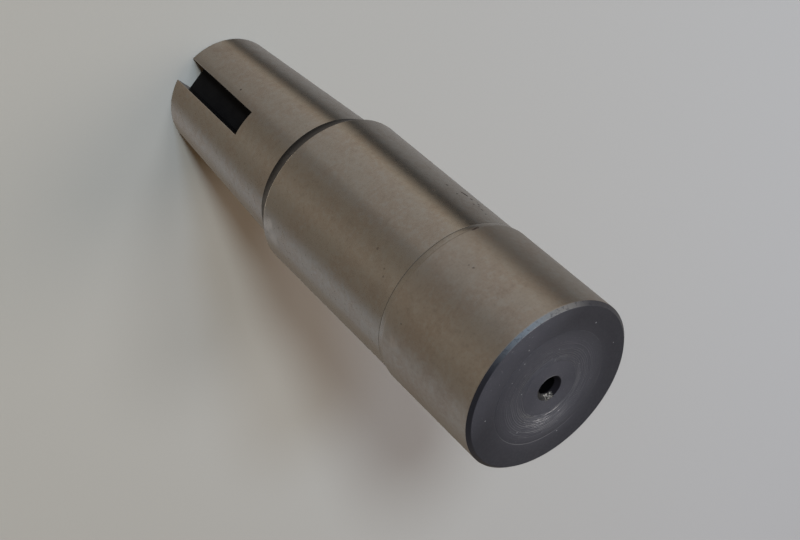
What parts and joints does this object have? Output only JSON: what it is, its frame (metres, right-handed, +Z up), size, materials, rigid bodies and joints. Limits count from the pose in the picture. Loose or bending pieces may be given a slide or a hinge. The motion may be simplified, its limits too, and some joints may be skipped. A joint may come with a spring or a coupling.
{
  "type": "stepped shaft",
  "caption": "Solid stepped steel shaft: a chamfered head with a countersunk blind hole, a journal, and a tapered end with an open keyway.",
  "frame": {"origin": "centre of the small end's flat face, on the surface that the shaft stands on", "axes": "+Z up the turning axis, from the tapered small end to the big front face; the keyway opens towards -Y; +X to the right seen from the keyway's side"},
  "size_m": [0.05, 0.05, 0.16],
  "materials": {
    "ground_steel": "cylindrically ground steel with a soft satin sheen, and a darker faced front end with fine turning rings"
  },
  "bodies": {
    "root": {"stepped_shaft": "ground_steel"}
  },
  "joints": []
}
